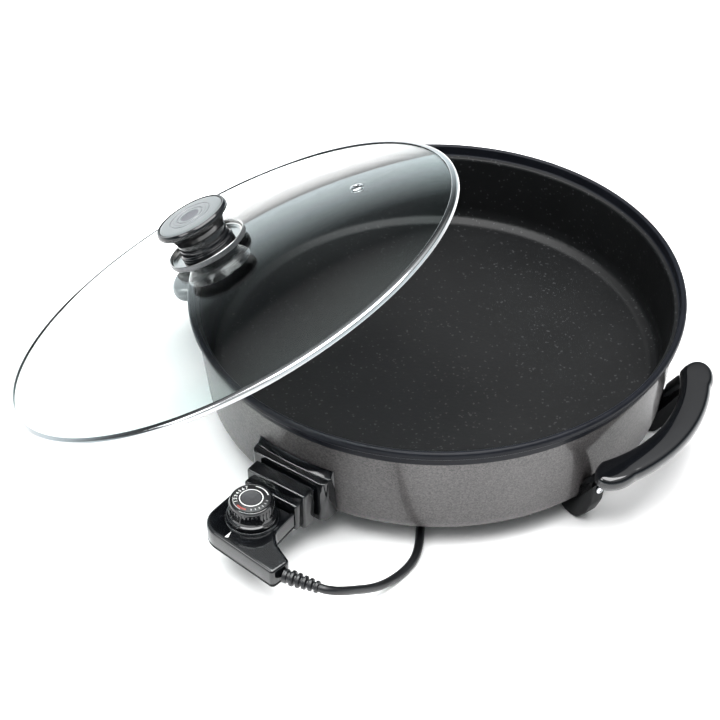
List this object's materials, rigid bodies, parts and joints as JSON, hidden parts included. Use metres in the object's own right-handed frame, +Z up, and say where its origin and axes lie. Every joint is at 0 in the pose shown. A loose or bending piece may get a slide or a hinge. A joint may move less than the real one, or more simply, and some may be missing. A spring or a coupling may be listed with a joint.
{
  "type": "electric griddle",
  "caption": "Deep round electric pizza pan with a leaning domed glass lid, two crescent handles on legs, and a plug-in thermostat with dial and coiled mains lead.",
  "frame": {"origin": "on the table, at the centre of the plan of pan, lid and thermostat", "axes": "+Z up; the thermostat points along -Y and the handles along +X and -X"},
  "size_m": [0.517, 0.6059, 0.2578],
  "materials": {
    "hammered_paint": "hammered speckle outside, black non-stick inside",
    "sheath": "heat-dulled steel sheath",
    "glass": "clear, faint cyan",
    "bright_steel": "bright polished steel",
    "zinc": "plated",
    "brass": "satin",
    "ceramic": "matt ceramic",
    "rubber": "matt",
    "dial_print": "black with white ring marks",
    "cap_silver": "silver-grey disc with rings",
    "pvc": "soft black",
    "bakelite": "gloss black bakelite"
  },
  "bodies": {
    "pan": {"pan_body": "hammered_paint", "heating_element": "sheath", "element_pin_left": "zinc", "element_pin_right": "zinc", "probe_sleeve": "zinc", "socket_shroud": "bakelite", "socket_screw_left": "bright_steel", "socket_screw_right": "bright_steel", "grip_right": "bakelite", "leg_right_front": "bakelite", "leg_screw_right_front": "bright_steel", "grip_screw_right_front": "bright_steel", "leg_right_rear": "bakelite", "leg_screw_right_rear": "bright_steel", "grip_screw_right_rear": "bright_steel", "grip_left": "bakelite", "leg_left_front": "bakelite", "leg_screw_left_front": "bright_steel", "grip_screw_left_front": "bright_steel", "leg_left_rear": "bakelite", "leg_screw_left_rear": "bright_steel", "grip_screw_left_rear": "bright_steel", "base_pad_1": "rubber", "base_pad_2": "rubber", "base_pad_3": "rubber", "base_pad_4": "rubber", "cord_lead": "pvc", "cord_coil": "pvc", "cord_tail": "pvc", "plug_relief": "pvc", "plug_body": "pvc", "plug_pin_line": "brass", "plug_pin_neutral": "brass"},
    "lid": {"lid_glass": "glass", "lid_rim": "bright_steel", "vent_eyelet": "bright_steel", "knob_seal": "rubber", "knob_guard": "bright_steel", "knob_body": "bakelite", "knob_cap": "cap_silver", "knob_collar": "bakelite", "knob_screw": "bright_steel"},
    "thermostat": {"thermostat_flange": "bakelite", "thermostat_probe": "bright_steel", "contact_left": "brass", "contact_right": "brass", "thermostat_cover": "bakelite", "thermostat_base": "bakelite", "housing_screw_1": "bright_steel", "housing_screw_2": "bright_steel", "housing_screw_3": "bright_steel", "switch_carrier": "ceramic", "bimetal_blade": "zinc", "contact_spring": "brass", "strain_relief": "pvc"},
    "dial": {"dial_knob": "bakelite", "dial_face": "dial_print", "dial_spindle": "zinc", "dial_cam": "ceramic"}
  },
  "joints": [
    {"name": "lid_lift", "type": "slide", "parent": "pan", "child": "lid", "axis": [0, 0, 1], "range_m": [0, 0.25]},
    {"name": "thermostat_pull", "type": "slide", "parent": "pan", "child": "thermostat", "axis": [0, -1, 0], "range_m": [0, 0.1], "deforming": ["cord_lead"]},
    {"name": "dial_turn", "type": "hinge", "parent": "thermostat", "child": "dial", "pos_m": [0.01952, -0.18349, 0.06], "axis": [0, 0, -1], "range_deg": [0, 285]}
  ]
}
